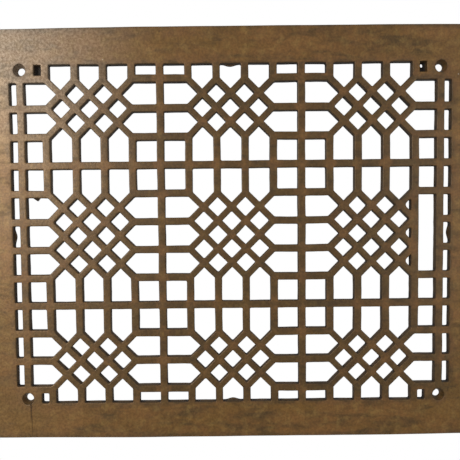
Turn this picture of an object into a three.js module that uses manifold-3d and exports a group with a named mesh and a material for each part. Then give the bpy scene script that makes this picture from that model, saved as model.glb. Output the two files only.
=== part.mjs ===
// Cast iron return air grille: one flat casting, a plain border round a pierced lattice.
// Millimetres, +Z up. The front faces -Y. The back lies on the plane Y = 0, and the origin
// is the middle of the back, where two diagonal bars cross.

import * as THREE from 'three';
import Module from 'manifold-3d';
import { ConvexGeometry } from 'three/addons/geometries/ConvexGeometry.js';
import { mergeVertices } from 'three/addons/utils/BufferGeometryUtils.js';

const wasm = await Module();
wasm.setup();

// Plate
const THICKNESS = 6.35; // border and bars alike
const BORDER_WIDTH = 25.4; // from the lattice opening to the outer edge
const CORNER_RADIUS = 2; // outer corners, seen from the front
const RIM_RADIUS = 1.2; // rounding of the outer front edge
const ROUND_STEPS = 3; // straight pieces to a quarter turn of either rounding
const WALL_DRAFT = 0.12; // how far each wall leans back over the thickness, so the sand lets go

// Lattice
const PITCH = 19.5; // between the centre lines of neighbouring bars
const BAR_WIDTH = 5.2; // of upright and level bars, on the front face
const DIAGONAL_WIDTH = 4.5;
const EDGE_SPREAD = 0.65; // how much further out than the pitch the last bars on it stand
const OUTER_BAR_SPACING = 17.2; // from the last upright on the pitch to the outer upright bar
const SIDE_SLOT_WIDTH = 4.8; // between the outer upright bar and the border
const END_OPENING_HEIGHT = 6.95; // between the last level bar and the border
const CORNER_SLOT_WIDTH = 4.8; // the small slot beside each screw hole
const CORNER_SLOT_FLOOR = 1.5; // iron at the back of the two upper ones, which don't go through

// Screw holes, cast as cones that narrow towards the back
const SCREW_HOLE_DIAMETER = 5;
const COUNTERSINK_DIAMETER = 8.8;
const HOLE_LAND = 0.8; // length of the straight end at the back
const SCREW_INSET = 3.3; // from the lattice opening's upper or lower edge to the hole's axis
const HOLE_SIDES = 24;

// Lugs on the border's inner wall, one at the middle of each side
const LUG_WIDTH = 11;
const LUG_REACH = 1.2;
const LUG_DEPTH = 3.4; // up from the back
const LUG_ROOT = 1; // how far it grows out of the wall behind it
const LUG_STEPS = 8;
const LUG_TOP = 0.25; // share of the reach that is left at its top

// Casting flaws and damage
const CRACK_WIDTH = 0.8; // at the screw hole
const CRACK_DEPTH = 0.9;
const CRACK_END = 0.5; // share of both that is left at the edge
const CRACK_WANDER = [1.1, 2, 1.8, 2.4, 2.2, 2.4]; // to the right of the screw hole's axis
const FLASH_WIDTH = 4.2; // a lump of stray iron under one bar
const FLASH_DROP = 1.8;
const FLASH_LEAN = 0.7; // of its lowest point, to the right of its middle
const FLASH_DEPTH = 3;
const GAP_WIDTH = 2; // the hole in the upper right slot's floor, where the iron stopped short
const GAP_HEIGHT = 2.6;
const GAP_RISE = 1.5; // from the slot's middle up to its own
const GAP_SIDES = 10;

// Cuts run this far past the surfaces that they start and end on
const CLEAR = 1;

// Corner points closer than this are one
const WELD = 1e-5;

// Pattern, in pitches. The lattice is three by three units, five pitches apart.
const UNIT = 5;
const MAIN_BAR = UNIT / 2; // from a unit's middle to the main bars that part it from the next
const BLOCK = 1.5; // diagonals fill this much either side of the middle
const CUT_BLOCK = 0.5; // and this much where the border cuts a unit short

const LAST_UPRIGHT = (UNIT + BLOCK) * PITCH + EDGE_SPREAD;
const LAST_LEVEL = (UNIT + CUT_BLOCK) * PITCH + EDGE_SPREAD;
const OUTER_BAR = LAST_UPRIGHT + OUTER_BAR_SPACING;
const OPENING_X = OUTER_BAR + BAR_WIDTH / 2 + SIDE_SLOT_WIDTH;
const OPENING_Z = LAST_LEVEL + BAR_WIDTH / 2 + END_OPENING_HEIGHT;
const PLATE_X = OPENING_X + BORDER_WIDTH;
const PLATE_Z = OPENING_Z + BORDER_WIDTH;
const SCREW_X = OUTER_BAR;
const SCREW_Z = OPENING_Z - SCREW_INSET;

// Directions on the front view: x to the right, y up, which is the model's Z
const RIGHT = new THREE.Vector2(1, 0);
const UP = new THREE.Vector2(0, 1);
const LEFT = new THREE.Vector2(-1, 0);
const DOWN = new THREE.Vector2(0, -1);
const UP_RIGHT = new THREE.Vector2(1, 1).normalize();
const UP_LEFT = new THREE.Vector2(-1, 1).normalize();
const DOWN_LEFT = new THREE.Vector2(-1, -1).normalize();
const DOWN_RIGHT = new THREE.Vector2(1, -1).normalize();

// A geometry as a solid. Corners that meet are merged, and slivers at a lathe's poles dropped.
function solid(geometry) {
  const bare = geometry.index ? geometry.toNonIndexed() : geometry;
  bare.deleteAttribute('normal');
  bare.deleteAttribute('uv');
  const merged = mergeVertices(bare, WELD);
  const index = merged.index.array;
  const triangles = [];
  for (let i = 0; i < index.length; i += 3) {
    const [a, b, c] = [index[i], index[i + 1], index[i + 2]];
    if (a !== b && b !== c && c !== a) triangles.push(a, b, c);
  }
  return new wasm.Manifold(new wasm.Mesh({
    numProp: 3,
    vertProperties: new Float32Array(merged.attributes.position.array),
    triVerts: new Uint32Array(triangles),
  }));
}

// A solid back as a geometry.
function toGeometry(manifold) {
  const mesh = manifold.getMesh();
  const geometry = new THREE.BufferGeometry();
  geometry.setAttribute('position', new THREE.BufferAttribute(new Float32Array(mesh.vertProperties), 3));
  geometry.setIndex(new THREE.BufferAttribute(new Uint32Array(mesh.triVerts), 1));
  geometry.computeVertexNormals();
  return geometry;
}

// The convex solid round flat outlines, each given at its own depth.
function stack(outlines) {
  const points = outlines.flatMap(({ y, outline }) => outline.map((p) => new THREE.Vector3(p.x, y, p.y)));
  return solid(new ConvexGeometry(points));
}

// Whole steps from first to last, both included.
function steps(first, last) {
  const values = [];
  for (let value = first; value <= last; value += 1) values.push(value);
  return values;
}

// One side of an opening: it faces along direction and stops half a bar short of the bar's
// centre line, which runs through (x, z). At the border there is no bar, so its width is 0.
function side(direction, x, z, barWidth) {
  return { direction, reach: direction.x * x + direction.y * z - barWidth / 2 };
}

// A side along an upright or level line.
function sideOn(direction, line) {
  return side(direction, Math.abs(direction.x) * line.at, Math.abs(direction.y) * line.at, line.width);
}

// A side along the diagonal bar through a crossing, which is given in pitches.
function sideAt(direction, x, z) {
  return side(direction, x * PITCH, z * PITCH, DIAGONAL_WIDTH);
}

// Upright and level lines of the lattice, each with its place and the width of the bar on it.
const barAt = (at) => ({ at, width: BAR_WIDTH });
const borderAt = (at) => ({ at, width: 0 });

// The bar on a line that is given in pitches. The last ones on the pitch stand further out.
function barOn(pitches, last) {
  const spread = Math.abs(pitches) === last ? Math.sign(pitches) * EDGE_SPREAD : 0;
  return barAt(pitches * PITCH + spread);
}

const upright = (pitches) => barOn(pitches, UNIT + BLOCK);
const level = (pitches) => barOn(pitches, UNIT + CUT_BLOCK);

// Where two neighbouring sides meet, with both moved out by growth.
function meet(a, b, growth) {
  const turn = a.direction.cross(b.direction);
  const reachA = a.reach + growth;
  const reachB = b.reach + growth;
  return new THREE.Vector2(
    (reachA * b.direction.y - reachB * a.direction.y) / turn,
    (reachB * a.direction.x - reachA * b.direction.x) / turn,
  );
}

// The core that leaves an opening, from the front as far as end. Its sides, in turn, widen
// towards the back.
function core(sides, end = CLEAR) {
  const outlines = [-THICKNESS - CLEAR, end].map((y) => {
    const growth = WALL_DRAFT * (1 + y / THICKNESS);
    const outline = sides.map((a, i) => meet(a, sides[(i + 1) % sides.length], growth));
    return { y, outline };
  });
  return stack(outlines);
}

// A four-sided opening between two upright and two level lines.
function rectangle(left, right, bottom, top) {
  return [
    sideOn(RIGHT, right),
    sideOn(UP, top),
    sideOn(LEFT, left),
    sideOn(DOWN, bottom),
  ];
}

// One unit of the pattern: its middle and how far its diagonals reach down and up from
// there, all in pitches, and the four lines that close it off.
function unitAt(column, row) {
  const x = column * UNIT;
  const z = row * UNIT;
  return {
    column,
    row,
    x,
    z,
    bottom: row === -1 ? -CUT_BLOCK : -BLOCK,
    top: row === 1 ? CUT_BLOCK : BLOCK,
    leftLine: column === -1 ? barAt(-OUTER_BAR) : upright(x - MAIN_BAR),
    rightLine: column === 1 ? barAt(OUTER_BAR) : upright(x + MAIN_BAR),
    lowerLine: row === -1 ? borderAt(-OPENING_Z) : level(z - MAIN_BAR),
    upperLine: row === 1 ? borderAt(OPENING_Z) : level(z + MAIN_BAR),
  };
}

// The diamonds between the diagonals.
function diamonds(unit) {
  const middles = [];
  for (const x of [-1, 0, 1]) {
    for (const z of steps(unit.bottom + 1, unit.top - 1)) middles.push([x, z]);
  }
  for (const x of [-0.5, 0.5]) {
    for (const z of steps(unit.bottom + 0.5, unit.top - 0.5)) middles.push([x, z]);
  }
  return middles.map(([acrossUnit, upUnit]) => {
    const right = unit.x + acrossUnit + 0.5;
    const left = unit.x + acrossUnit - 0.5;
    const z = unit.z + upUnit;
    return [
      sideAt(UP_RIGHT, right, z),
      sideAt(UP_LEFT, left, z),
      sideAt(DOWN_LEFT, left, z),
      sideAt(DOWN_RIGHT, right, z),
    ];
  });
}

// The pointed openings above and below the diagonals. Each one's tip is a crossing, and it
// runs between two upright bars to the unit's upper or lower line.
function endPoints(unit) {
  return [-1, 0, 1].flatMap((step) => {
    const x = unit.x + step;
    const left = sideOn(LEFT, upright(x - 0.5));
    const right = sideOn(RIGHT, upright(x + 0.5));
    const upperTip = unit.z + unit.top - 0.5;
    const lowerTip = unit.z + unit.bottom + 0.5;
    const upper = [
      right,
      sideOn(UP, unit.upperLine),
      left,
      sideAt(DOWN_LEFT, x, upperTip),
      sideAt(DOWN_RIGHT, x, upperTip),
    ];
    const lower = [
      right,
      sideAt(UP_RIGHT, x, lowerTip),
      sideAt(UP_LEFT, x, lowerTip),
      left,
      sideOn(DOWN, unit.lowerLine),
    ];
    return [upper, lower];
  });
}

// The pointed openings to the left of the diagonals, one between each two level bars.
function leftPoints(unit) {
  return steps(unit.bottom + 0.5, unit.top - 0.5).map((step) => {
    const x = unit.x - 1;
    const z = unit.z + step;
    return [
      sideAt(UP_RIGHT, x, z),
      sideOn(UP, level(z + 0.5)),
      sideOn(LEFT, unit.leftLine),
      sideOn(DOWN, level(z - 0.5)),
      sideAt(DOWN_RIGHT, x, z),
    ];
  });
}

// The same to the right.
function rightPoints(unit) {
  return steps(unit.bottom + 0.5, unit.top - 0.5).map((step) => {
    const x = unit.x + 1;
    const z = unit.z + step;
    return [
      sideOn(RIGHT, unit.rightLine),
      sideOn(UP, level(z + 0.5)),
      sideAt(UP_LEFT, x, z),
      sideAt(DOWN_LEFT, x, z),
      sideOn(DOWN, level(z - 0.5)),
    ];
  });
}

// The right-hand side of the middle row: a damper's lever would move in the tall slot, so
// an upright bar closes the diagonals off and leaves three small triangles beside them.
function leverSide(unit) {
  const closing = upright(unit.x + BLOCK);
  const triangles = steps(unit.bottom + 0.5, unit.top - 0.5).map((step) => {
    const x = unit.x + 1;
    const z = unit.z + step;
    return [sideOn(RIGHT, closing), sideAt(UP_LEFT, x, z), sideAt(DOWN_LEFT, x, z)];
  });
  const slot = rectangle(closing, unit.rightLine, level(unit.bottom), level(unit.top));
  return [...triangles, slot];
}

// An opening between two upright and two level lines, which run outwards from the middle of
// the unit or the grille that it is a corner of.
function cornerRectangle(right, up, inner, outer, near, far) {
  const across = right > 0 ? [inner, outer] : [outer, inner];
  const along = up > 0 ? [near, far] : [far, near];
  return rectangle(...across, ...along);
}

// The openings in a unit's four corners, apart from those at the grille's own corners.
function cornerOpenings(unit) {
  const openings = [];
  for (const right of [-1, 1]) {
    for (const up of [-1, 1]) {
      if (unit.column === right && unit.row === up) continue;
      const inner = upright(unit.x + right * BLOCK);
      const outer = right > 0 ? unit.rightLine : unit.leftLine;
      const near = level(unit.z + (up > 0 ? unit.top : unit.bottom));
      const far = up > 0 ? unit.upperLine : unit.lowerLine;
      openings.push(cornerRectangle(right, up, inner, outer, near, far));
    }
  }
  return openings;
}

// The small slot that is left at each of the grille's corners, beside the solid block that
// the screw goes through. The upper two are blind.
function cornerSlots() {
  const slots = [];
  for (const right of [-1, 1]) {
    for (const up of [-1, 1]) {
      const inner = upright(right * (UNIT + BLOCK));
      const outer = borderAt(inner.at + right * (BAR_WIDTH / 2 + CORNER_SLOT_WIDTH));
      const near = level(up * (UNIT + CUT_BLOCK));
      const far = borderAt(up * OPENING_Z);
      const end = up > 0 ? -CORNER_SLOT_FLOOR : CLEAR;
      slots.push(core(cornerRectangle(right, up, inner, outer, near, far), end));
    }
  }
  return slots;
}

// All the openings of one unit. The rows at the top and bottom are cut short by the border.
function unitOpenings(column, row) {
  const unit = unitAt(column, row);
  const hasLever = column === 1 && row === 0;
  return [
    ...diamonds(unit),
    ...endPoints(unit),
    ...leftPoints(unit),
    ...(hasLever ? leverSide(unit) : rightPoints(unit)),
    ...cornerOpenings(unit),
  ];
}

// The slots between the outer upright bars and the border, one between each two level bars.
function sideSlots() {
  return steps(-UNIT, UNIT).flatMap((step) => {
    const bottom = level(step - 0.5);
    const top = level(step + 0.5);
    return [
      rectangle(barAt(OUTER_BAR), borderAt(OPENING_X), bottom, top),
      rectangle(borderAt(-OPENING_X), barAt(-OUTER_BAR), bottom, top),
    ];
  });
}

function latticeCores() {
  const openings = sideSlots();
  for (const column of [-1, 0, 1]) {
    for (const row of [-1, 0, 1]) openings.push(...unitOpenings(column, row));
  }
  const cores = openings.map((sides) => core(sides));
  return wasm.Manifold.union([...cores, ...cornerSlots()]);
}

// The outline of the plate, drawn in by inset, with its round corners.
function plateOutline(inset) {
  const shape = new THREE.Shape();
  const x = PLATE_X - CORNER_RADIUS;
  const z = PLATE_Z - CORNER_RADIUS;
  const radius = CORNER_RADIUS - inset;
  shape.absarc(x, z, radius, 0, Math.PI / 2);
  shape.absarc(-x, z, radius, Math.PI / 2, Math.PI);
  shape.absarc(-x, -z, radius, Math.PI, Math.PI * 1.5);
  shape.absarc(x, -z, radius, Math.PI * 1.5, Math.PI * 2);
  return shape.getPoints(ROUND_STEPS);
}

// The uncut plate, with its front edge rounded.
function plate() {
  const rim = steps(0, ROUND_STEPS).map((step) => {
    const angle = step / ROUND_STEPS * Math.PI / 2;
    const inset = RIM_RADIUS * (1 - Math.cos(angle));
    const rise = RIM_RADIUS * Math.sin(angle);
    return { y: -THICKNESS + RIM_RADIUS - rise, outline: plateOutline(inset) };
  });
  return stack([{ y: 0, outline: plateOutline(0) }, ...rim]);
}

// A screw hole: a cone from the front, then a short straight end.
function screwHole(x, z) {
  const wide = COUNTERSINK_DIAMETER / 2;
  const narrow = SCREW_HOLE_DIAMETER / 2;
  const flare = (wide - narrow) / (THICKNESS - HOLE_LAND);
  const profile = [
    new THREE.Vector2(0, -THICKNESS - CLEAR),
    new THREE.Vector2(wide + flare * CLEAR, -THICKNESS - CLEAR),
    new THREE.Vector2(narrow, -HOLE_LAND),
    new THREE.Vector2(narrow, CLEAR),
    new THREE.Vector2(0, CLEAR),
  ];
  return solid(new THREE.LatheGeometry(profile, HOLE_SIDES)).translate([x, 0, z]);
}

function screwHoles() {
  const holes = [];
  for (const x of [-SCREW_X, SCREW_X]) {
    for (const z of [-SCREW_Z, SCREW_Z]) holes.push(screwHole(x, z));
  }
  return wasm.Manifold.union(holes);
}

// A low bump at the back of the border's inner wall, highest at its middle, in slices. The
// wall faces against outward.
function lug(wallX, wallZ, outward) {
  const along = new THREE.Vector2(-outward.y, outward.x);
  const wall = new THREE.Vector2(wallX, wallZ).addScaledVector(outward, WALL_DRAFT);
  const place = (sideways, inward) => wall.clone()
    .addScaledVector(along, sideways * LUG_WIDTH / 2)
    .addScaledVector(outward, -inward);
  const reach = (sideways) => LUG_REACH * (1 - sideways ** 2) ** 2;
  const levels = [
    { y: 0, share: 1 },
    { y: -LUG_DEPTH / 2, share: 1 },
    { y: -LUG_DEPTH, share: LUG_TOP },
  ];
  const slices = steps(1, LUG_STEPS).map((step) => {
    const start = 2 * (step - 1) / LUG_STEPS - 1;
    const end = 2 * step / LUG_STEPS - 1;
    return stack(levels.map(({ y, share }) => {
      const outline = [
        place(start, -LUG_ROOT),
        place(end, -LUG_ROOT),
        place(end, share * reach(end)),
        place(start, share * reach(start)),
      ];
      return { y, outline };
    }));
  });
  return wasm.Manifold.union(slices);
}

function lugs() {
  return wasm.Manifold.union([
    lug(OPENING_X, 0, RIGHT),
    lug(-OPENING_X, 0, LEFT),
    lug(0, OPENING_Z, UP),
    lug(0, -OPENING_Z, DOWN),
  ]);
}

// The crack from the lower left screw hole to the bottom edge, as a groove that thins out.
function crack() {
  const last = CRACK_WANDER.length - 1;
  const notches = CRACK_WANDER.map((wander, i) => {
    const share = i / last;
    const x = -SCREW_X + wander;
    const z = THREE.MathUtils.lerp(-SCREW_Z, -PLATE_Z - CLEAR, share);
    const left = THREE.MathUtils.lerp(1, CRACK_END, share);
    const width = CRACK_WIDTH * left;
    const depth = CRACK_DEPTH * left;
    // The walls of the notch go on past the surface, spreading as they do
    const spread = width / 2 * (1 + CLEAR / depth);
    return [
      new THREE.Vector3(x, -THICKNESS + depth, z),
      new THREE.Vector3(x - spread, -THICKNESS - CLEAR, z),
      new THREE.Vector3(x + spread, -THICKNESS - CLEAR, z),
    ];
  });
  const lengths = steps(1, last).map((i) => solid(new ConvexGeometry([...notches[i - 1], ...notches[i]])));
  return wasm.Manifold.union(lengths);
}

// The lump of stray iron that hangs at the back, under a bar beside the left outer upright.
function flash() {
  const x = -(LAST_UPRIGHT + OUTER_BAR) / 2;
  const barMiddle = BLOCK * PITCH;
  const underside = barMiddle - BAR_WIDTH / 2;
  const outline = [
    new THREE.Vector2(x - FLASH_WIDTH / 2, barMiddle),
    new THREE.Vector2(x + FLASH_WIDTH / 2, barMiddle),
    new THREE.Vector2(x + FLASH_WIDTH / 2, underside),
    new THREE.Vector2(x + FLASH_LEAN, underside - FLASH_DROP),
    new THREE.Vector2(x - FLASH_WIDTH / 2, underside),
  ];
  return stack([{ y: 0, outline }, { y: -FLASH_DEPTH, outline }]);
}

// The hole through the floor of the upper right corner's slot.
function gap() {
  const x = LAST_UPRIGHT + (BAR_WIDTH + CORNER_SLOT_WIDTH) / 2;
  const z = OPENING_Z - END_OPENING_HEIGHT / 2 + GAP_RISE;
  const edge = new THREE.EllipseCurve(x, z, GAP_WIDTH / 2, GAP_HEIGHT / 2);
  const outline = edge.getPoints(GAP_SIDES);
  return stack([{ y: CLEAR, outline }, { y: -CORNER_SLOT_FLOOR - CLEAR, outline }]);
}

function grilleCasting() {
  const casting = plate()
    .subtract(latticeCores())
    .subtract(screwHoles())
    .subtract(gap())
    .add(lugs())
    .add(flash())
    .subtract(crack());
  const iron = new THREE.MeshStandardMaterial({ color: 0x765a3c, roughness: 0.62, metalness: 0.4 });
  const mesh = new THREE.Mesh(toGeometry(casting), iron);
  mesh.name = 'grille_casting';
  return mesh;
}

const group = new THREE.Group();
group.add(grilleCasting());

export default group;
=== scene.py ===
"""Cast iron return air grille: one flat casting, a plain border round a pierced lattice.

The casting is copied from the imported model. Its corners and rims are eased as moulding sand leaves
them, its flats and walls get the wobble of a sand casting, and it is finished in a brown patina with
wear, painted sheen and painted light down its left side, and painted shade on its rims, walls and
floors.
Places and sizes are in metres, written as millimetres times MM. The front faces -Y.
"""

import logging
import math
from dataclasses import dataclass, field
from enum import Enum
from functools import cached_property

import bmesh
import bpy
import numpy as np
from mathutils import Euler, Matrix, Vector, noise

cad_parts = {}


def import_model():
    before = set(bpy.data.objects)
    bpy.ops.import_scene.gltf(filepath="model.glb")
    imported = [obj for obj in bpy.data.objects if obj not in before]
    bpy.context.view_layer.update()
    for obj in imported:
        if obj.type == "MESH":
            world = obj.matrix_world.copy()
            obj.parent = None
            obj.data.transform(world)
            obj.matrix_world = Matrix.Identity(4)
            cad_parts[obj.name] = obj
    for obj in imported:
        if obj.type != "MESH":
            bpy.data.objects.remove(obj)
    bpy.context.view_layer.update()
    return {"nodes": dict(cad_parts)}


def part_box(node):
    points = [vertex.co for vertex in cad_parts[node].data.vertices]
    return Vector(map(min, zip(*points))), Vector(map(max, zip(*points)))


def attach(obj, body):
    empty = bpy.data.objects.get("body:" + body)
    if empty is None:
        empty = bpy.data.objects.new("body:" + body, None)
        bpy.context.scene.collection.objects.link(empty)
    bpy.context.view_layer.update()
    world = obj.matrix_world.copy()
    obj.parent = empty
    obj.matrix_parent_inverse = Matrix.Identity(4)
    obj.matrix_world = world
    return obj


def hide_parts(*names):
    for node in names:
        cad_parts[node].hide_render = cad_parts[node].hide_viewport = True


LOG = logging.getLogger("grille")
MM = 0.001
X, Y, Z = range(3)

Socket = bpy.types.NodeSocket
Pair = tuple[float, float]
Triple = tuple[float, float, float]
Colour = Triple


def from_screen(red: int, green: int, blue: int) -> Colour:
    """Turns a colour as a screen shows it, 0 to 255, into the linear one that a shader reads.

    Args:
        red: The red on the screen.
        green: The green on the screen.
        blue: The blue on the screen.

    Returns:
        The linear colour, each part from 0 to 1.
    """
    parts = [value / 255 for value in (red, green, blue)]
    linear = [p / 12.92 if p <= 0.04045 else ((p + 0.055) / 1.055) ** 2.4 for p in parts]
    return linear[0], linear[1], linear[2]


def blend(value: float, start: float, end: float) -> float:
    """Rises smoothly from 0 at start to 1 at end, or falls where end lies below start."""
    share = min(max((value - start) / (end - start), 0.0), 1.0)
    return share * share * (3 - 2 * share)


class Swell(Enum):
    """The fields of smooth random heights, each with the number that picks it."""

    SWAY_X = 1.3
    SWAY_Z = 7.7
    RIPPLE_X = 3.1
    RIPPLE_Y = 8.8
    RIPPLE_Z = 5.9
    DISH = 2.4
    BACK = 6.5
    EDGE = 9.4
    SOFTNESS = 4.2

    def height(self, place: Vector, size: float) -> float:
        """The height at a place, from about -1 to 1, in a field whose swells are a size apart."""
        return noise.noise(place / size + Vector((self.value, -self.value, 2 * self.value)))


class Face(Enum):
    """A flat of the casting, with the way along Y that it looks."""

    FRONT = -1
    BACK = 1


class Ease(Enum):
    """How far the sand has rounded an opening's corner, and in how many steps it is built."""

    CRISP = (0.35 * MM, 2)
    SOFT = (0.8 * MM, 2)
    FULL = (2.3 * MM, 4)


@dataclass(frozen=True)
class Rim:
    """The rounding where a flat turns into the walls.

    Attributes:
        width: How far it reaches across the flat.
        rise: How far it reaches down the wall.
        steps: Rows of faces round the bend.
        wall: How much of the wall below it is built anew with it.
        lean: How far that piece of wall leans in.
    """

    width: float
    rise: float
    steps: int
    wall: float = 0.0
    lean: float = 0.01 * MM

    @property
    def height(self) -> float:
        """How far below the flat the old mesh ends."""
        return self.wall + self.rise

    def profile(self) -> list[Pair]:
        """Lists the steps from the old mesh up to the flat.

        Returns:
            For each step how far it goes in and how far up.
        """
        steps = [(self.lean, self.wall)] if self.wall else []
        quarter = math.pi / 2 / self.steps
        for step in range(self.steps):
            start, end = step * quarter, (step + 1) * quarter
            inwards = self.width * (math.cos(start) - math.cos(end))
            steps.append((inwards, self.rise * (math.sin(end) - math.sin(start))))
        return steps


@dataclass(frozen=True)
class Crack:
    """The crack from the lower left screw hole to the bottom edge.

    Attributes:
        hole: The screw hole's middle, as x and z.
        wander: How far the crack lies to the right of the hole's middle, evenly down its length.
        width: Across the groove at its upper end.
        depth: Of the groove at its upper end.
        fade: How much of both is gone at the plate's edge.
        margin: Of finer mesh on either side.
        spacing: Between the cuts across the groove.
        rung: Between the cuts down its length.
    """

    hole: Pair = (-144.6 * MM, -114.15 * MM)
    wander: tuple[float, ...] = (1.1 * MM, 2.0 * MM, 1.8 * MM, 2.4 * MM, 2.2 * MM, 2.4 * MM)
    width: float = 2.4 * MM
    depth: float = 0.8 * MM
    fade: float = 0.75
    margin: float = 0.9 * MM
    spacing: float = 0.2 * MM
    rung: float = 1.2 * MM

    def strength(self, place: Vector, bottom: float) -> float:
        """How deep in the groove a place lies.

        Args:
            place: A place on the front.
            bottom: The height of the plate's lower edge.

        Returns:
            1 on the bed of the groove's upper end, falling to 0 at its sides.
        """
        share = (self.hole[1] - place.z) / (self.hole[1] - bottom)
        if not 0 <= share <= 1:
            return 0.0
        step = share * (len(self.wander) - 1)
        index = min(int(step), len(self.wander) - 2)
        before, after = self.wander[index:index + 2]
        middle = self.hole[0] + before + (after - before) * (step - index)
        thinning = 1 - self.fade * math.sqrt(share)
        return thinning * blend(abs(place.x - middle), self.width * thinning / 2, 0)


@dataclass(frozen=True)
class CastSkin:
    """How far a sand casting departs from its pattern.

    Attributes:
        sway: How far bars and border edges wander within the plate.
        sway_size: Between two such bends.
        ripple: Height of the small waves on rims and walls.
        ripple_size: Between two ripples.
        dish: How far the front dips, always into the iron.
        dish_size: Between two dips.
        dish_ripple: Height of the small waves of a dip, against its own.
        back_dip: How far the rough back dips.
        back_size: Between two dips of the back.
        edge_band: Next to the plate's outer edge, where the sway only goes inwards.
        corner_drop: How far the upper and lower edges have drawn in at the left and right ends.
        corner_start: Where that starts at each end, as a share of half the plate's width.
        soft_size: Between two places where the openings' corners are softer.
        soft_limit: The height of a swell from which they are.
    """

    sway: float = 0.22 * MM
    sway_size: float = 26 * MM
    ripple: float = 0.13 * MM
    ripple_size: float = 6 * MM
    dish: float = 0.2 * MM
    dish_size: float = 17 * MM
    dish_ripple: float = 0.3
    back_dip: float = 0.2 * MM
    back_size: float = 7 * MM
    edge_band: float = 8 * MM
    corner_drop: Pair = (0.8 * MM, 0.5 * MM)
    corner_start: Pair = (1 / 3, 0.6)
    soft_size: float = 9 * MM
    soft_limit: float = 0.12


@dataclass(frozen=True)
class MeshLimits:
    """What counts as one, as level and as sharp while the mesh is worked on.

    Attributes:
        weld: Corner points nearer than this become one.
        level: Heights nearer than this are the same.
        plane_snap: A cut that takes off a flat keeps corner points nearer than this.
        line_snap: The same of a cut that only divides faces.
        flat_turn: Faces that turn less than this are one flat.
        sharp_turn: An edge that turns at least this far is a corner.
        flat: How squarely a flat looks along Y.
        facing: The same once it ripples.
    """

    weld: float = 0.002 * MM
    level: float = 0.001 * MM
    plane_snap: float = 0.0001 * MM
    line_snap: float = 0.03 * MM
    flat_turn: float = math.radians(0.4)
    sharp_turn: float = math.radians(40)
    flat: float = 0.999
    facing: float = 0.9


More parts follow.
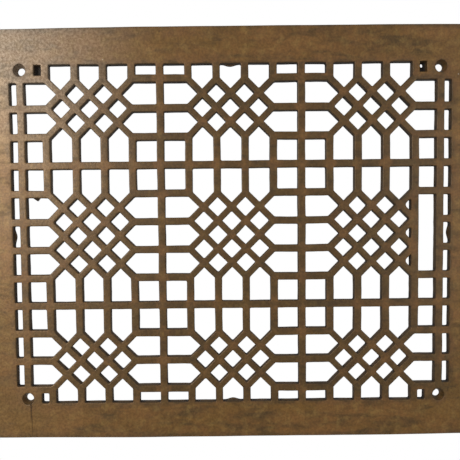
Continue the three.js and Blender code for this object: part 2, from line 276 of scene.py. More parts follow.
@dataclass
class Casting:
    """The whole grille, which was poured as one piece.

    Attributes:
        low: Its lowest corner.
        high: Its highest corner.
        front_rim: Rounding of the front's edges.
        back_rim: Rounding of the back's edges.
        opening: Half the width and half the height of the pierced field.
        pitch: Between the middles of two bars.
        diagonal: Across a diagonal bar.
        slot_width: Of the slots beside the border.
        worn_tips: The diamonds whose lower tips are blunt, by pitches to the right and up.
        triangles: Left and right of the small triangles beside the lever slot.
        skin: How the casting departs from its pattern.
        crack: The crack in its lower left corner.
        limits: What counts as one, as level and as sharp.
        mesh_step: Between the cuts that give the flats enough faces to bend.
        reach: Round a place, when its iron is counted.
        cell: Of the grid on which it is counted.
        bm: The mesh while it is worked on.
    """

    low: Vector
    high: Vector
    front_rim: Rim = Rim(0.7 * MM, 0.7 * MM, 3, 0.4 * MM)
    back_rim: Rim = Rim(0.2 * MM, 0.2 * MM, 1)
    opening: Pair = (152 * MM, 117.45 * MM)
    pitch: float = 19.5 * MM
    diagonal: float = 4.5 * MM
    slot_width: float = 4.8 * MM
    worn_tips: tuple[tuple[int, int], ...] = ((5, 5), (6, 5))
    triangles: Pair = (119 * MM, 126.5 * MM)
    skin: CastSkin = CastSkin()
    crack: Crack = Crack()
    limits: MeshLimits = MeshLimits()
    mesh_step: float = 3.6 * MM
    reach: float = 6 * MM
    cell: float = MM
    bm: bmesh.types.BMesh = field(default_factory=bmesh.new)

    def build(self, source: bpy.types.Object) -> bpy.types.Object:
        """Makes the piece from a copy of the model's mesh.

        Args:
            source: The model's object. It isn't changed.

        Returns:
            The finished piece, undressed.
        """
        self.copy_pattern(source)
        sides = ((Face.FRONT, self.front_rim), (Face.BACK, self.back_rim))
        for face, rim in sides:
            self.open_flat(face, rim)
        self.ease_corners()
        for face, rim in sides:
            self.close_flat(face, rim)
            self.round_rim(face, rim)
        self.cut_grid()
        self.cut_crack_bed()
        for face in self.bm.faces:
            face.smooth = True
            face.material_index = int(face.normal.y > self.limits.facing)
        depths = self.displace()
        mesh = bpy.data.meshes.new("grille_iron")
        self.bm.to_mesh(mesh)
        self.bm.free()
        self.add_attribute(mesh, "crack", depths)
        self.add_attribute(mesh, "iron_around", self.iron_around(mesh))
        piece = bpy.data.objects.new("grille_iron", mesh)
        bpy.context.scene.collection.objects.link(piece)
        piece.modifiers.new("even_shading", "WEIGHTED_NORMAL").keep_sharp = True
        return piece

    def copy_pattern(self, source: bpy.types.Object) -> None:
        """Starts from the model's mesh, with its loose triangles merged into whole faces.

        Args:
            source: The model's object.
        """
        self.bm.from_mesh(source.data)
        bmesh.ops.remove_doubles(self.bm, verts=self.bm.verts[:], dist=self.limits.weld)
        bmesh.ops.dissolve_limit(
            self.bm,
            angle_limit=self.limits.flat_turn,
            use_dissolve_boundaries=False,
            verts=self.bm.verts[:],
            edges=self.bm.edges[:],
            delimit=set(),
        )

    def rim_foot(self, face: Face, rim: Rim) -> float:
        """Where the rim of the front or the back starts, along Y."""
        flat = self.low.y if face is Face.FRONT else self.high.y
        return flat - face.value * rim.height

    def open_flat(self, face: Face, rim: Rim) -> None:
        """Takes off the front or the back, down to where its rim begins.

        Args:
            face: The front or the back.
            rim: Its rounding.
        """
        bmesh.ops.bisect_plane(
            self.bm,
            geom=[*self.bm.verts, *self.bm.edges, *self.bm.faces],
            dist=self.limits.plane_snap,
            plane_co=Vector((0, self.rim_foot(face, rim), 0)),
            plane_no=Vector((0, face.value, 0)),
            clear_outer=True,
        )

    def ease_of(self, edge: bmesh.types.BMEdge) -> Ease | None:
        """Picks the rounding of one upright edge in an opening.

        Args:
            edge: Any edge of the opened casting.

        Returns:
            The rounding, or None where the edge isn't an opening's corner.
        """
        one, other = edge.verts
        if edge.is_boundary or not (one.is_boundary and other.is_boundary):
            return None
        place = one.co
        outside = abs(place.x) > self.opening[0] + MM or abs(place.z) > self.opening[1] + MM
        if outside or edge.calc_face_angle(0) < self.limits.sharp_turn:
            return None
        if self.is_worn_tip(place) or self.is_in_triangle(place):
            return Ease.FULL
        in_right_slot = place.x > self.opening[0] - self.slot_width
        soft = Swell.SOFTNESS.height(place, self.skin.soft_size) > self.skin.soft_limit
        return Ease.SOFT if in_right_slot or soft else Ease.CRISP

    def is_worn_tip(self, place: Vector) -> bool:
        """Whether a place lies on the lower tip of one of the blunt diamonds.

        Args:
            place: A place on an upright edge in an opening.

        Returns:
            True for the blunt ones.
        """
        drop = self.pitch / 2 - self.diagonal / math.sqrt(2)
        tips = [(right * self.pitch, up * self.pitch - drop) for right, up in self.worn_tips]
        return any(math.hypot(place.x - x, place.z - z) < MM for x, z in tips)

    def is_in_triangle(self, place: Vector) -> bool:
        """Whether a place lies in one of the three small triangles beside the lever slot.

        Args:
            place: A place on an upright edge in an opening.

        Returns:
            True within a quarter of a pitch of the middle bar or of its neighbours.
        """
        left, right = self.triangles
        step = round(place.z / self.pitch)
        near = abs(place.z - step * self.pitch) < self.pitch / 4
        return left < place.x < right and near and abs(step) <= 1

    def ease_corners(self) -> None:
        """Rounds the upright corners of every opening."""
        chosen = {ease: [] for ease in Ease}
        for edge in self.bm.edges:
            ease = self.ease_of(edge)
            if ease:
                chosen[ease].append(edge)
        for ease, edges in chosen.items():
            radius, steps = ease.value
            bmesh.ops.bevel(
                self.bm,
                geom=edges,
                offset=radius,
                offset_type="OFFSET",
                segments=steps,
                profile=0.5,
                affect="EDGES",
                clamp_overlap=False,
                material=-1,
            )

    def close_flat(self, face: Face, rim: Rim) -> None:
        """Spans a flat between all the open edges on one side, round the holes.

        Args:
            face: The front or the back.
            rim: Its rounding, which starts at the open edges.
        """
        height = self.rim_foot(face, rim)
        edges = [
            edge
            for edge in self.bm.edges
            if edge.is_boundary
            and all(abs(v.co.y - height) < self.limits.level for v in edge.verts)
        ]
        bmesh.ops.triangle_fill(
            self.bm,
            use_beauty=True,
            use_dissolve=False,
            edges=edges,
            normal=Vector((0, face.value, 0)),
        )

    def round_rim(self, face: Face, rim: Rim) -> None:
        """Raises a flat in steps, each set in a little, so that its edges are round.

        Args:
            face: The front or the back.
            rim: The rounding.
        """
        height = self.rim_foot(face, rim)
        for inwards, climb in rim.profile():
            flat = [
                f
                for f in self.bm.faces
                if f.normal.y * face.value > self.limits.flat
                and abs(f.calc_center_median().y - height) < self.limits.level
            ]
            bmesh.ops.inset_region(
                self.bm,
                faces=flat,
                use_boundary=True,
                use_even_offset=True,
                thickness=inwards,
                depth=climb,
            )
            height += face.value * climb

    def cut_lines(self, faces: list[bmesh.types.BMFace], axis: int, lines: list[float]) -> None:
        """Cuts faces along parallel planes, halving the set each time so that every cut is short.

        Args:
            faces: The faces to cut.
            axis: The axis that the planes stand across.
            lines: Where they stand, in rising order.
        """
        if not lines or not faces:
            return
        middle = len(lines) // 2
        normal = Vector((0, 0, 0))
        normal[axis] = 1
        verts = {vert for f in faces for vert in f.verts}
        edges = {edge for f in faces for edge in f.edges}
        made = bmesh.ops.bisect_plane(
            self.bm,
            geom=[*verts, *edges, *faces],
            dist=self.limits.line_snap,
            plane_co=normal * lines[middle],
            plane_no=normal,
        )
        cut = {part for part in made["geom"] if isinstance(part, bmesh.types.BMFace)}
        below = [f for f in cut if f.calc_center_median()[axis] < lines[middle]]
        above = [f for f in cut if f.calc_center_median()[axis] >= lines[middle]]
        self.cut_lines(below, axis, lines[:middle])
        self.cut_lines(above, axis, lines[middle + 1:])

    def cut_grid(self) -> None:
        """Cuts flats, rims and walls finely enough to bend."""
        for axis in (X, Z):
            count = int((self.high[axis] - self.low[axis]) / self.mesh_step)
            spacing = (self.high[axis] - self.low[axis]) / count
            lines = [self.low[axis] + (line + 0.5) * spacing for line in range(count)]
            self.cut_lines(self.bm.faces[:], axis, lines)
        self.cut_lines(self.bm.faces[:], Y, [self.low.y / 2])

    def cut_crack_bed(self) -> None:
        """Gives the front finer faces where the crack runs."""
        crack = self.crack
        left = crack.hole[0] + min(crack.wander) - crack.margin
        right = crack.hole[0] + max(crack.wander) + crack.margin
        depth = self.rim_foot(Face.FRONT, self.front_rim)

        def bed() -> list[bmesh.types.BMFace]:
            """The faces on the crack's way."""
            return [
                f
                for f in self.bm.faces
                if any(v.co.y < depth for v in f.verts)
                and any(v.co.z < crack.hole[1] for v in f.verts)
                and any(v.co.x > left for v in f.verts)
                and any(v.co.x < right for v in f.verts)
            ]

        count = round((right - left) / crack.spacing)
        self.cut_lines(bed(), X, [left + i * crack.spacing for i in range(count + 1)])
        rungs = round((crack.hole[1] - self.low.z) / crack.rung)
        self.cut_lines(bed(), Z, [self.low.z + i * crack.rung for i in range(1, rungs + 1)])

    def displace(self) -> list[float]:
        """Bends the mesh as a sand casting bends, and opens the crack.

        Returns:
            How deep each corner point lies in the crack, from 0 to 1.
        """
        skin = self.skin
        middle = (self.low.y + self.high.y) / 2
        rim_foot = self.rim_foot(Face.FRONT, self.front_rim)
        depths = []
        for vert in self.bm.verts:
            place = vert.co.copy()
            flat = Vector((place.x, 0, place.z))
            to_edge = min(self.high.x - abs(place.x), self.high.z - abs(place.z))
            inner = blend(to_edge, 0, skin.edge_band)
            for at, size, amount, across, up in (
                (flat, skin.sway_size, skin.sway, Swell.SWAY_X, Swell.SWAY_Z),
                (place, skin.ripple_size, skin.ripple, Swell.RIPPLE_X, Swell.RIPPLE_Z),
            ):
                way = Vector((across.height(at, size), 0, up.height(at, size)))
                vert.co += way * amount * inner
            self.draw_in(vert, flat, 1 - inner)
            dip = 0.5 + 0.5 * Swell.DISH.height(flat, skin.dish_size)
            dip += skin.dish_ripple * (1 + Swell.RIPPLE_Y.height(flat, skin.ripple_size))
            vert.co.y += blend(place.y, middle, self.low.y) * skin.dish * dip
            rough = 0.5 + 0.5 * Swell.BACK.height(flat, skin.back_size)
            vert.co.y -= blend(place.y, middle, self.high.y) * skin.back_dip * rough
            groove = self.crack.strength(place, self.low.z) if place.y < rim_foot else 0.0
            vert.co.y += groove * self.crack.depth
            depths.append(groove)
        return depths

    def draw_in(self, vert: bmesh.types.BMVert, flat: Vector, share: float) -> None:
        """Draws the plate's outer edge in a little, unevenly.

        Args:
            vert: The corner point to move.
            flat: Where it lies on the front view.
            share: 1 on the outer edge, falling to 0 inside the border.
        """
        skin = self.skin
        amount = skin.sway * 0.5 * (1 + Swell.EDGE.height(flat, skin.sway_size)) * share
        if self.high.x - abs(flat.x) < skin.edge_band:
            vert.co.x -= math.copysign(amount * blend(abs(flat.x), 0, self.high.x), flat.x)
        if self.high.z - abs(flat.z) < skin.edge_band:
            pull = amount * blend(abs(flat.z), 0, self.high.z)
            for end, drop, start in zip((self.low.x, self.high.x), skin.corner_drop, skin.corner_start):
                pull += drop * blend(flat.x, end * start, end) * share
            vert.co.z -= math.copysign(pull, flat.z)

    def iron_around(self, mesh: bpy.types.Mesh) -> np.ndarray:
        """Counts the iron round each corner point on the front view.

        Args:
            mesh: The finished mesh.

        Returns:
            For each point the share of a disc round it that is iron: about a half on a bar, more
            where bars cross, and 1 on the border.
        """
        low = np.array((self.low.x, self.low.z))
        high = np.array((self.high.x, self.high.z))
        size = ((high - low) / self.cell).astype(int) + 1
        area = np.zeros(size)
        for polygon in mesh.polygons:
            if polygon.normal.y < -self.limits.facing:
                column = int((polygon.center.x - low[0]) / self.cell)
                row = int((polygon.center.z - low[1]) / self.cell)
                area[column, row] += polygon.area
        cells = round(self.reach / self.cell)
        padded = np.pad(area, cells, mode="edge")
        total = np.zeros_like(area)
        for across in range(-cells, cells + 1):
            for up in range(-cells, cells + 1):
                if math.hypot(across, up) <= cells:
                    x, z = cells + across, cells + up
                    total += padded[x:x + size[0], z:z + size[1]]
        places = np.zeros(len(mesh.vertices) * 3)
        mesh.vertices.foreach_get("co", places)
        spots = ((places.reshape(-1, 3)[:, [X, Z]] - low) / self.cell).astype(int)
        columns, rows = np.clip(spots, 0, size - 1).T
        return np.clip(total[columns, rows] / (math.pi * self.reach**2), 0, 1)

    @staticmethod
    def add_attribute(mesh: bpy.types.Mesh, name: str, values: list[float] | np.ndarray) -> None:
        """Stores one number for each corner point, for the material to read."""
        attribute = mesh.attributes.new(name, "FLOAT", "POINT")
        attribute.data.foreach_set("value", np.asarray(values, dtype=np.float32))


@dataclass(frozen=True)
class Layer:
    """One layer of cloudy patches.

    Attributes:
        scale: Patches to the metre.
        cover: Share of the surface that they cover.
        softness: Of their edges.
        strength: How much of the colour below they hide.
    """

    scale: float
    cover: float
    softness: float
    strength: float = 1.0


@dataclass(frozen=True)
class Specks:
    """Sparse small spots.

    Attributes:
        scale: Cells to the metre, with at most one spot in each.
        share: Of the cells that have one.
        share_edge: The part of that share in which every spot is full.
        radius: Of a spot, against a cell's width.
        core: The part of the radius that is full.
        strength: How much of the colour below they hide.
    """

    scale: float = 45
    share: float = 0.12
    share_edge: float = 0.9
    radius: float = 0.03
    core: float = 0.5
    strength: float = 0.6


@dataclass(frozen=True)
class Grain:
    """The roughness that moulding sand leaves on iron.

    Attributes:
        count: Grains to the metre.
        depth: Height of a grain.
        strength: How much of it shows.
    """

    count: float
    depth: float
    strength: float = 0.7


class Wiring:
    """A node tree, with short ways to add nodes and join them."""

    def __init__(self, tree: bpy.types.NodeTree) -> None:
        """Starts on a material's, world's or group's node tree."""
        self.tree = tree

    def add(self, kind: str, **settings: object) -> bpy.types.Node:
        """Adds a node.

        Args:
            kind: Blender's name for the kind of node.
            settings: Properties of the node, or what its inputs get, by name with spaces as _.

        Returns:
            The new node.
        """
        made = self.tree.nodes.new(kind)
        for name, value in settings.items():
            if hasattr(made, name):
                setattr(made, name, value)
            else:
                self.feed(value, made.inputs[name.replace("_", " ")])
        return made

    def feed(self, value: object, target: Socket) -> None:
        """Links an output to an input, or sets the input to a value."""
        if isinstance(value, Socket):
            self.tree.links.new(value, target)
        else:
            target.default_value = value

    def math(self, operation: str, first: object, second: object, clamp: bool = True) -> Socket:
        """Works out one value from two.

        Args:
            operation: Blender's name for how.
            first: A socket or a number.
            second: A socket or a number.
            clamp: Whether the result is held between 0 and 1.

        Returns:
            The result's socket.
        """
        made = self.add("ShaderNodeMath", operation=operation, use_clamp=clamp)
        self.feed(first, made.inputs[0])
        self.feed(second, made.inputs[1])
        return made.outputs[0]

    def times(self, first: object, second: object) -> Socket:
        """Multiplies two values, each a socket or a number, and holds the product from 0 to 1."""
        return self.math("MULTIPLY", first, second)

    def ramp(self, source: Socket, start: object, end: object) -> Socket:
        """Turns a value into a mask that rises smoothly from 0 at start to 1 at end.

        Args:
            source: The value.
            start: Where the mask leaves 0: a socket or a number.
            end: Where it reaches 1.

        Returns:
            The mask's socket.
        """
        made = self.add("ShaderNodeMapRange", interpolation_type="SMOOTHSTEP", Value=source)
        self.feed(start, made.inputs["From Min"])
        self.feed(end, made.inputs["From Max"])
        return made.outputs["Result"]

    def spread(self, source: Socket, ends: Pair, start: float = -1) -> Socket:
        """Turns a value that runs from start to 1 into one that runs evenly between two others.

        Args:
            source: The value.
            ends: What it becomes at start and at 1.
            start: The lowest that it can be.

        Returns:
            The new value's socket.
        """
        low, high = ends
        made = self.add("ShaderNodeMapRange", Value=source, From_Min=start, To_Min=low, To_Max=high)
        return made.outputs["Result"]

    def mix(self, mask: object, under: object, over: object, blend_type: str = "MIX") -> Socket:
        """Lays one colour over another.

        Args:
            mask: Where the upper colour shows: a socket or a number.
            under: The lower colour, or its socket.
            over: The upper colour, or its socket.
            blend_type: How the two are combined.

        Returns:
            The mixed colour's socket.
        """
        made = self.add("ShaderNodeMix", data_type="RGBA", blend_type=blend_type)
        for slot, value in (("Factor_Float", mask), ("A_Color", under), ("B_Color", over)):
            target = next(i for i in made.inputs if i.identifier == slot)
            self.feed((*value, 1) if isinstance(value, tuple) else value, target)
        return next(o for o in made.outputs if o.identifier == "Result_Color")


class Effects:
    """The node groups that both finishes of the iron use.

    Attributes:
        lump_share: How many lumps there are to the metre, against grains.
        pit_range: The lumps' values between which iron turns into a pit.
        pitting: Depth of a pit against a grain's height.
    """

    lump_share = 0.3
    pit_range = (0.60, 0.72)
    pitting = 0.4

    def __init__(self) -> None:
        """Builds each group once."""
        self.mottle = self.build_mottle()
        self.sand = self.build_sand()

    @staticmethod
    def start(name: str, inputs: tuple[str, ...], output: str) -> tuple[Wiring, bpy.types.Node]:
        """Starts a group that takes a place and some numbers.

        Args:
            name: The group's name.
            inputs: Its number inputs.
            output: The value that it puts out.

        Returns:
            Wiring on the group, and the node that holds what it takes.
        """
        tree = bpy.data.node_groups.new(name, "ShaderNodeTree")
        tree.interface.new_socket("Vector", in_out="INPUT", socket_type="NodeSocketVector")
        for title in inputs:
            tree.interface.new_socket(title, in_out="INPUT", socket_type="NodeSocketFloat")
        tree.interface.new_socket(output, in_out="OUTPUT", socket_type="NodeSocketFloat")
        wiring = Wiring(tree)
        return wiring, wiring.add("NodeGroupInput")

    def build_mottle(self) -> bpy.types.NodeTree:
        """Cloudy patches of patina.

        Returns:
            The group, with the mask of the patches as its output.
        """
        wiring, inlet = self.start("patina_mottle", ("Scale", "Cover", "Softness"), "Mask")
        place, scale, cover, softness = inlet.outputs[:4]
        clouds = wiring.add(
            "ShaderNodeTexNoise", Vector=place, Scale=scale, Detail=5, Roughness=0.58, Distortion=0.35
        )
        limit = wiring.math("SUBTRACT", 1, cover)
        low = wiring.math("SUBTRACT", limit, softness)
        high = wiring.math("ADD", limit, softness)
        wiring.add("NodeGroupOutput", Mask=wiring.ramp(clouds.outputs["Fac"], low, high))
        return wiring.tree

    def build_sand(self) -> bpy.types.NodeTree:
        """The grain that moulding sand leaves on iron.

        Returns:
            The group, with the grain's height as its output.
        """
        wiring, inlet = self.start("sand_grain", ("Scale",), "Height")
        place, scale = inlet.outputs[:2]
        grain = wiring.add("ShaderNodeTexNoise", Vector=place, Scale=scale, Detail=3, Roughness=0.65)
        coarse = wiring.math("MULTIPLY", scale, self.lump_share, clamp=False)
        lumps = wiring.add("ShaderNodeTexNoise", Vector=place, Scale=coarse, Detail=2, Roughness=0.5)
        body = wiring.math("ADD", grain.outputs["Fac"], lumps.outputs["Fac"], clamp=False)
        pits = wiring.times(wiring.ramp(lumps.outputs["Fac"], *self.pit_range), self.pitting)
        wiring.add("NodeGroupOutput", Height=wiring.math("SUBTRACT", body, pits, clamp=False))
        return wiring.tree


class Canvas:
    """A material while it is made."""

    def __init__(self, name: str, effects: Effects) -> None:
        """Starts the material.

        Args:
            name: Its name.
            effects: The shared node groups.
        """
        self.material = bpy.data.materials.new(name)
        self.material.use_nodes = True
        self.effects = effects
        self.wiring = Wiring(self.material.node_tree)
        self.shader = self.material.node_tree.nodes["Principled BSDF"]
        self.place = self.wiring.add("ShaderNodeTexCoord").outputs["Object"]

    @cached_property
    def axes(self) -> bpy.types.bpy_prop_collection:
        """The place on the piece, taken apart."""
        return self.wiring.add("ShaderNodeSeparateXYZ", Vector=self.place).outputs

    @cached_property
    def crowd(self) -> Socket:
        """The share of iron round each place: about a half on a bar, 1 on the border."""
        return self.attribute("iron_around")

    def set(self, **values: object) -> None:
        """Gives inputs of the shader a value or a source, by name with spaces as _."""
        for name, value in values.items():
            self.wiring.feed(value, self.shader.inputs[name.replace("_", " ")])

    def attribute(self, name: str) -> Socket:
        """Reads a number that the mesh holds for each corner point."""
        return self.wiring.add("ShaderNodeAttribute", attribute_name=name).outputs["Fac"]

    def patches(self, layer: Layer, place: Socket | None = None) -> Socket:
        """Adds one layer of cloudy patches.

        Args:
            layer: What the patches are like.
            place: Where on the piece, if drawn out into streaks.

        Returns:
            The mask's socket.
        """
        group = self.wiring.add(
            "ShaderNodeGroup",
            node_tree=self.effects.mottle,
            Vector=place or self.place,
            Scale=layer.scale,
            Cover=layer.cover,
            Softness=layer.softness,
        )
        return self.wiring.times(group.outputs["Mask"], layer.strength)

    def specks(self, specks: Specks) -> Socket:
        """Adds sparse small spots.

        Args:
            specks: What the spots are like.

        Returns:
            The mask's socket.
        """
        wiring = self.wiring
        cells = wiring.add("ShaderNodeTexVoronoi", Vector=self.place, Scale=specks.scale)
        spot = wiring.ramp(cells.outputs["Distance"], specks.radius, specks.radius * specks.core)
        chance = wiring.add("ShaderNodeSeparateColor", Color=cells.outputs["Color"]).outputs["Red"]
        chosen = wiring.ramp(chance, specks.share, specks.share * specks.share_edge)
        return wiring.times(wiring.times(spot, chosen), specks.strength)

    def add_grain(self, grain: Grain) -> None:
        """Roughens the surface with the sand's grain.

        Args:
            grain: What the grain is like.
        """
        sand = self.wiring.add(
            "ShaderNodeGroup", node_tree=self.effects.sand, Vector=self.place, Scale=grain.count
        )
        bump = self.wiring.add(
            "ShaderNodeBump",
            Strength=grain.strength,
            Distance=grain.depth,
            Height=sand.outputs["Height"],
        )
        self.set(Normal=bump.outputs["Normal"])


@dataclass(frozen=True)
class WornPatina:
    """The finish of the front, the rims and the walls, with painted shade, sheen and light in its
    colour.

    Attributes:
        name: The material's name.
        olive: The brown that most of the iron has.
        russet: Redder patches in it.
        umber: Darker patches.
        tan: Paler patches.
        rust: Orange tints where bars cross, and weaker ones on the border.
        smoke: The duller tone of the bars.
        pale_wear_and_sheen: Pale grey brown of bare specks and of the upper left, there partly thin
            finish and partly painted sheen.
        golden_wear_and_light: Down the left side, where the finish is thinned less: partly wear and
            partly painted light from the left.
        shade: Dark brown painted as shade on rims, walls, floors and lugs' faces, partly oxide on the
            walls, and laid into the crack.
        russet_layer: Where the russet lies.
        umber_layer: Where the umber lies.
        shadow_layer: Where it lies in broad soft streaks.
        tan_layer: Where the tan lies.
        rust_layer: Where the rust lies, of the places where bars cross.
        fine_layer: The finest specks.
        specks: The few bare specks.
        bar_smoke: How much of the bars' colour is smoke.
        rim_shade: How much of the rims' colour is painted shade.
        wall_shade: The same on walls that face down, and on those that face up: painted shade, darker
            where light from above falls less.
        floor_shade: The same on floors and lugs' faces, and on the walls of narrow slots: painted shade
            in recesses.
        crack_shade: The same in the crack.
        rub_sheen_strength: How much of the colour of the wear and the painted sheen shows at most.
        lower_rub_and_light: Share of that at the lower left, where it is mostly painted light from the
            left.
        border_clean: How much of the rust the border lacks.
        narrow_crowd: The shares of iron around between which a wall's opening turns narrow.
        border_crowd: Those between which a bar turns into border.
        crossing_crowd: Those between which a bar turns into a crossing.
        rim_facing: The normals' Y between which a flat turns into a rim.
        wall_facing: Those between which a screw hole's cone turns into a wall.
        floor_facing: Those between which a cone turns into a floor or a lug's face.
        streak_turn: Of the streaks left by a cloth, against the level.
        streak_shape: How much shorter than the patches the streaks' swells are, each way.
        roughness: Of the brown, from where it is polished to where it is dull.
        matt_gain: How much rougher walls and rust are.
        metallic: Of the brown.
        grain: Left by the sand.
        rim_depth: How deep the rims' painted shade is full and the walls' starts, and where the rims'
            ends.
        wall_dark: How deep the walls are fully dark.
        wear_and_light_end: Along X, where the wear, the painted sheen and the painted light of the left
            side end.
        upper_rub_and_sheen: Along Z, where the upper wear and painted sheen start.
        lower_rise: Along Z, where the lower wear and painted light start, and where they are strongest.
        sheen_low: Along Z, where the lightened brown starts to turn from a warm brown to the pale grey
            of the painted sheen.
    """

    name: str = "worn_patina"
    olive: Colour = from_screen(124, 90, 39)
    russet: Colour = from_screen(131, 92, 45)
    umber: Colour = from_screen(72, 55, 24)
    tan: Colour = from_screen(150, 120, 64)
    rust: Colour = from_screen(142, 94, 44)
    smoke: Colour = from_screen(76, 58, 32)
    pale_wear_and_sheen: Colour = from_screen(180, 164, 144)
    golden_wear_and_light: Colour = from_screen(141, 109, 66)
    shade: Colour = from_screen(34, 26, 18)
    russet_layer: Layer = Layer(40, 0.5, 0.12)
    umber_layer: Layer = Layer(110, 0.42, 0.12, 0.75)
    shadow_layer: Layer = Layer(24, 0.45, 0.2, 0.4)
    tan_layer: Layer = Layer(170, 0.42, 0.14, 0.5)
    rust_layer: Layer = Layer(80, 0.52, 0.14, 0.42)
    fine_layer: Layer = Layer(620, 0.5, 0.2, 0.35)
    specks: Specks = Specks()
    bar_smoke: float = 0.6
    rim_shade: float = 0.5
    wall_shade: Pair = (0.93, 0.2)
    floor_shade: float = 0.96
    crack_shade: float = 0.85
    rub_sheen_strength: float = 0.74
    lower_rub_and_light: float = 0.5
    border_clean: float = 0.65
    narrow_crowd: Pair = (0.5, 0.6)
    border_crowd: Pair = (0.6, 0.95)
    crossing_crowd: Pair = (0.5, 0.72)
    rim_facing: Pair = (-0.97, -0.55)
    wall_facing: Pair = (-0.2, -0.08)
    floor_facing: Pair = (-0.4, -0.6)
    streak_turn: float = math.radians(38)
    streak_shape: Triple = (0.4, 1, 1.5)
    roughness: Pair = (0.4, 0.54)
    matt_gain: float = 0.3
    metallic: float = 0.3
    grain: Grain = Grain(560, 0.15 * MM)
    rim_depth: Pair = (0.6 * MM, 1.2 * MM)
    wall_dark: float = 2.6 * MM
    wear_and_light_end: float = -40 * MM
    upper_rub_and_sheen: float = -90 * MM
    lower_rise: Pair = (-20 * MM, -75 * MM)
    sheen_low: float = 30 * MM

    def material(self, effects: Effects, low: Vector, high: Vector) -> bpy.types.Material:
        """Makes the material.

        Args:
            effects: The shared node groups.
            low: The casting's lowest corner.
            high: The casting's highest corner.

        Returns:
            The finished material.
        """
        canvas = Canvas(self.name, effects)
        wiring = canvas.wiring
        streaks = wiring.add(
            "ShaderNodeMapping",
            Vector=canvas.place,
            Rotation=(0, self.streak_turn, 0),
            Scale=self.streak_shape,
        ).outputs["Vector"]
        fine = canvas.patches(self.fine_layer)
        dull = canvas.patches(self.umber_layer, streaks)
        painted_shade, wall = self.shade_masks(canvas, low.y)
        rusty = self.rusty(canvas)
        brown = self.brown(canvas, streaks, dull)
        brown = wiring.mix(rusty, brown, self.rust)
        # Painted sheen: towards the top the lightened colour turns from a warm brown to pale grey.
        height = wiring.ramp(canvas.axes["Z"], self.sheen_low, high.z)
        pale = wiring.mix(height, self.golden_wear_and_light, self.pale_wear_and_sheen)
        # Wear, painted sheen and painted light from the left lighten the left side, most at the top.
        brown = wiring.mix(self.rub_sheen_and_light(canvas, fine, low.x, high.z), brown, pale)
        brown = wiring.mix(fine, brown, self.umber, "MULTIPLY")
        brown = wiring.mix(canvas.specks(self.specks), brown, self.pale_wear_and_sheen)
        # Painted shade: rims, walls, floors and lugs' faces darken towards the shade colour.
        brown = wiring.mix(painted_shade, brown, self.shade)
        crack = wiring.times(canvas.attribute("crack"), self.crack_shade)
        matt = wiring.math("MAXIMUM", wall, rusty)
        rough = wiring.spread(dull, self.roughness, start=0)
        canvas.set(
            Base_Color=wiring.mix(crack, brown, self.shade),
            Roughness=wiring.math("ADD", rough, wiring.times(matt, self.matt_gain)),
            Metallic=wiring.times(wiring.math("SUBTRACT", 1, matt), self.metallic),
        )
        canvas.add_grain(self.grain)
        return canvas.material

    def brown(self, canvas: Canvas, streaks: Socket, dull: Socket) -> Socket:
        """Mixes the mottled brown, darker on the bars.

        Args:
            canvas: The material while it is made.
            streaks: The place on the piece, drawn out along the streaks.
            dull: The mask of the darker patches.

        Returns:
            The colour's socket.
        """
        wiring = canvas.wiring
        brown = wiring.mix(canvas.patches(self.russet_layer, streaks), self.olive, self.russet)
        brown = wiring.mix(canvas.patches(self.shadow_layer, streaks), brown, self.umber)
        brown = wiring.mix(dull, brown, self.umber)
        brown = wiring.mix(canvas.patches(self.tan_layer), brown, self.tan)
        border = wiring.ramp(canvas.crowd, *self.border_crowd)
        bar = wiring.times(wiring.math("SUBTRACT", 1, border), self.bar_smoke)
        return wiring.mix(bar, brown, self.smoke)

    def rusty(self, canvas: Canvas) -> Socket:
        """Masks the rust, which sits where bars cross.

        Args:
            canvas: The material while it is made.

        Returns:
            The mask's socket.
        """
        wiring = canvas.wiring
        border = wiring.ramp(canvas.crowd, *self.border_crowd)
        clean = wiring.times(border, self.border_clean)
        crossing = wiring.math("SUBTRACT", wiring.ramp(canvas.crowd, *self.crossing_crowd), clean)
        return wiring.times(crossing, canvas.patches(self.rust_layer))

    def shade_masks(self, canvas: Canvas, front: float) -> tuple[Socket, Socket]:
        """Masks the painted shade on rims, walls and floors, but not on the screw holes' cones.

        Args:
            canvas: The material while it is made.
            front: Where the front lies, along Y.

        Returns:
            The sockets of the painted shade's strength and of the plain mask of walls and floors.
        """
        wiring = canvas.wiring
        normal = wiring.add("ShaderNodeTexCoord").outputs["Normal"]
        facing = wiring.add("ShaderNodeSeparateXYZ", Vector=normal).outputs
        start, end = (front + depth for depth in self.rim_depth)
        depth = wiring.ramp(canvas.axes["Y"], start, front + self.wall_dark)
        steep = wiring.times(depth, wiring.ramp(facing["Y"], *self.wall_facing))
        sunk = wiring.ramp(canvas.axes["Y"], start, end)
        floor = wiring.times(sunk, wiring.ramp(facing["Y"], *self.floor_facing))
        # Painted shade: the walls of narrow slots are darkest, and walls facing down are darker than
        # walls facing up, as light from above falls.
        narrow = wiring.ramp(canvas.crowd, *self.narrow_crowd)
        dim = wiring.times(narrow, self.floor_shade)
        dim = wiring.math("MAXIMUM", wiring.spread(facing["Z"], self.wall_shade), dim)
        dark = wiring.times(steep, dim)
        dark = wiring.math("MAXIMUM", dark, wiring.times(floor, self.floor_shade))
        # Painted shade on the rounded rims, which turn away from the light.
        shallow = wiring.times(wiring.math("SUBTRACT", 1, sunk), self.rim_shade)
        rim = wiring.times(wiring.ramp(facing["Y"], *self.rim_facing), shallow)
        return wiring.math("MAXIMUM", dark, rim), wiring.math("MAXIMUM", steep, floor)

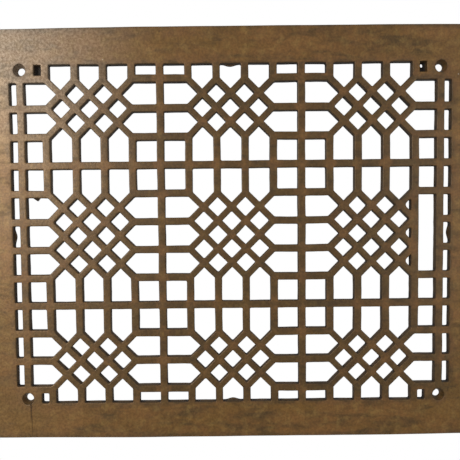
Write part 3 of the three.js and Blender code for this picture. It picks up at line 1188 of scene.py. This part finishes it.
    def rub_sheen_and_light(self, canvas: Canvas, fine: Socket, left: float, top: float) -> Socket:
        """Masks wear, painted sheen and painted light on the left, strongest at the top, weakest just
        below the middle.

        Args:
            canvas: The material while it is made.
            fine: The mask of the finest specks, where the brown stays.
            left: Where the casting ends at the left.
            top: Where it ends at the top.

        Returns:
            The mask's socket.
        """
        wiring = canvas.wiring
        leftness = wiring.ramp(canvas.axes["X"], self.wear_and_light_end, left)
        upper = wiring.ramp(canvas.axes["Z"], self.upper_rub_and_sheen, top)
        lower = wiring.ramp(canvas.axes["Z"], *self.lower_rise)
        height = wiring.math("MAXIMUM", upper, wiring.times(lower, self.lower_rub_and_light))
        pale_wear_and_sheen = wiring.times(leftness, height)
        return wiring.times(pale_wear_and_sheen, wiring.math("SUBTRACT", self.rub_sheen_strength, fine))


@dataclass(frozen=True)
class FoundrySkin:
    """The finish of the back, which was never rubbed or waxed.

    Attributes:
        name: The material's name.
        scale: The dark oxide.
        bloom: The rust on it.
        bloom_layer: Where the rust lies.
        roughness: Of both.
        metallic: Of both.
        grain: Left by the sand.
    """

    name: str = "foundry_skin"
    scale: Colour = from_screen(66, 54, 43)
    bloom: Colour = from_screen(110, 72, 44)
    bloom_layer: Layer = Layer(60, 0.45, 0.12)
    roughness: float = 0.78
    metallic: float = 0.15
    grain: Grain = Grain(600, 0.16 * MM)

    def material(self, effects: Effects) -> bpy.types.Material:
        """Makes the material.

        Args:
            effects: The shared node groups.

        Returns:
            The finished material.
        """
        canvas = Canvas(self.name, effects)
        rust = canvas.patches(self.bloom_layer)
        canvas.set(
            Base_Color=canvas.wiring.mix(rust, self.scale, self.bloom),
            Roughness=self.roughness,
            Metallic=self.metallic,
        )
        canvas.add_grain(self.grain)
        return canvas.material


@dataclass(frozen=True)
class Lamp:
    """A soft square light.

    Attributes:
        name: Its name.
        place: Where it stands.
        target: What it points at.
        size: Along each side.
        power: In watts.
        colour: Of its light.
    """

    name: str
    place: Triple
    target: Triple
    size: float
    power: float
    colour: Colour

    def hang(self) -> None:
        """Adds the light to the scene."""
        light = bpy.data.lights.new(self.name, "AREA")
        light.shape = "SQUARE"
        light.size = self.size
        light.energy = self.power
        light.color = self.colour
        lamp = bpy.data.objects.new(self.name, light)
        lamp.location = self.place
        aim = Vector(self.target) - Vector(self.place)
        lamp.rotation_euler = aim.to_track_quat("-Z", "Y").to_euler()
        bpy.context.scene.collection.objects.link(lamp)


@dataclass
class Studio:
    """The camera, the light and the floor.

    Attributes:
        camera_place: Where the photograph was taken from, found from the lattice's perspective.
        camera_turn: Its rotation in degrees: a little downwards and a little rolled.
        lens: Its focal length in millimetres.
        sensor: The width of its sensor in millimetres.
        near: The nearest that it sees.
        framing: The lens shift that frames the grille as the photograph does.
        floor_height: Of the pale floor, below the part.
        floor_reach: Of the floor from left to right, to the front and to the back.
        floor_colour: Of the floor.
        floor_roughness: Of the floor.
        ambient: Strength of the light from the front and from behind, with the rest between.
        skylight: What it is multiplied by from below and from above.
        lamps: The soft lights.
    """

    camera_place: Triple = (-10.3 * MM, -406.35 * MM, 7.4 * MM)
    camera_turn: Triple = (87.012, 0.611, -0.095)
    lens: float = 45.05
    sensor: float = 36
    near: float = 10 * MM
    framing: Pair = (0.0262, 0.0527)
    floor_height: float = -0.75
    floor_reach: Triple = (1.4, 1.4, 1.15)
    floor_colour: Colour = (0.8, 0.8, 0.79)
    floor_roughness: float = 0.8
    ambient: Pair = (0.43, 0.24)
    skylight: Pair = (0.5, 1.5)
    lamps: tuple[Lamp, ...] = (
        Lamp("key_light", (-0.5, -0.6, 0.13), (-0.05, 0, 0), 0.3, 3.45, (1.0, 0.985, 0.96)),
        Lamp("fill_light", (0.5, -0.5, 0.05), (0, 0, 0), 0.4, 0.8, (0.94, 0.97, 1.0)),
    )

    def set_up(self) -> None:
        """Builds the whole studio."""
        self.add_camera()
        self.add_sky()
        self.add_floor()
        for lamp in self.lamps:
            lamp.hang()
        bpy.context.scene.view_settings.view_transform = "Standard"

    def add_camera(self) -> None:
        """Adds the photograph's camera."""
        data = bpy.data.cameras.new("camera")
        data.sensor_width = self.sensor
        data.lens = self.lens
        data.shift_x, data.shift_y = self.framing
        data.clip_start = self.near
        camera = bpy.data.objects.new("camera", data)
        camera.location = self.camera_place
        camera.rotation_euler = Euler([math.radians(angle) for angle in self.camera_turn])
        bpy.context.scene.collection.objects.link(camera)
        bpy.context.scene.camera = camera

    def add_sky(self) -> None:
        """Adds soft light, mostly from the front, which the camera sees as plain white."""
        world = bpy.data.worlds.new("white_studio")
        bpy.context.scene.world = world
        world.use_nodes = True
        world.node_tree.nodes.clear()
        wiring = Wiring(world.node_tree)
        direction = wiring.add("ShaderNodeTexCoord").outputs["Generated"]
        way = wiring.add("ShaderNodeSeparateXYZ", Vector=direction).outputs
        shares = (wiring.spread(way["Y"], self.ambient), wiring.spread(way["Z"], self.skylight))
        strength = wiring.times(*shares)
        light = wiring.add("ShaderNodeBackground", Color=(1, 1, 1, 1), Strength=strength)
        seen = wiring.add("ShaderNodeBackground", Color=(1, 1, 1, 1), Strength=1)
        by_camera = wiring.add("ShaderNodeLightPath").outputs["Is Camera Ray"]
        choice = wiring.add("ShaderNodeMixShader")
        for slot, source in enumerate((by_camera, light.outputs[0], seen.outputs[0])):
            wiring.feed(source, choice.inputs[slot])
        wiring.add("ShaderNodeOutputWorld", Surface=choice.outputs[0])

    def add_floor(self) -> None:
        """Adds the plain pale floor."""
        side, front, back = self.floor_reach
        bm = bmesh.new()
        bmesh.ops.create_grid(bm, x_segments=1, y_segments=1, size=1)
        bmesh.ops.scale(bm, vec=(side, (front + back) / 2, 1), verts=bm.verts)
        bmesh.ops.translate(bm, vec=(0, (back - front) / 2, self.floor_height), verts=bm.verts)
        mesh = bpy.data.meshes.new("floor")
        bm.to_mesh(mesh)
        bm.free()
        pale = bpy.data.materials.new("pale_floor")
        pale.use_nodes = True
        shader = pale.node_tree.nodes["Principled BSDF"]
        shader.inputs["Base Color"].default_value = (*self.floor_colour, 1)
        shader.inputs["Roughness"].default_value = self.floor_roughness
        mesh.materials.append(pale)
        floor = bpy.data.objects.new("floor", mesh)
        bpy.context.scene.collection.objects.link(floor)


def main() -> None:
    """Builds the studio and the grille, and reports the piece."""
    logging.basicConfig(level=logging.INFO, format="%(name)s: %(message)s")
    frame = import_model()
    Studio().set_up()
    node = "grille_casting"
    low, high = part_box(node)
    piece = Casting(low, high).build(frame["nodes"][node])
    effects = Effects()
    piece.data.materials.append(WornPatina().material(effects, low, high))
    piece.data.materials.append(FoundrySkin().material(effects))
    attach(piece, "root")
    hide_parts(node)
    triangles = sum(len(polygon.vertices) - 2 for polygon in piece.data.polygons)
    LOG.info("%s: %d faces, %d triangles", piece.name, len(piece.data.polygons), triangles)


if __name__ == "__main__":
    main()
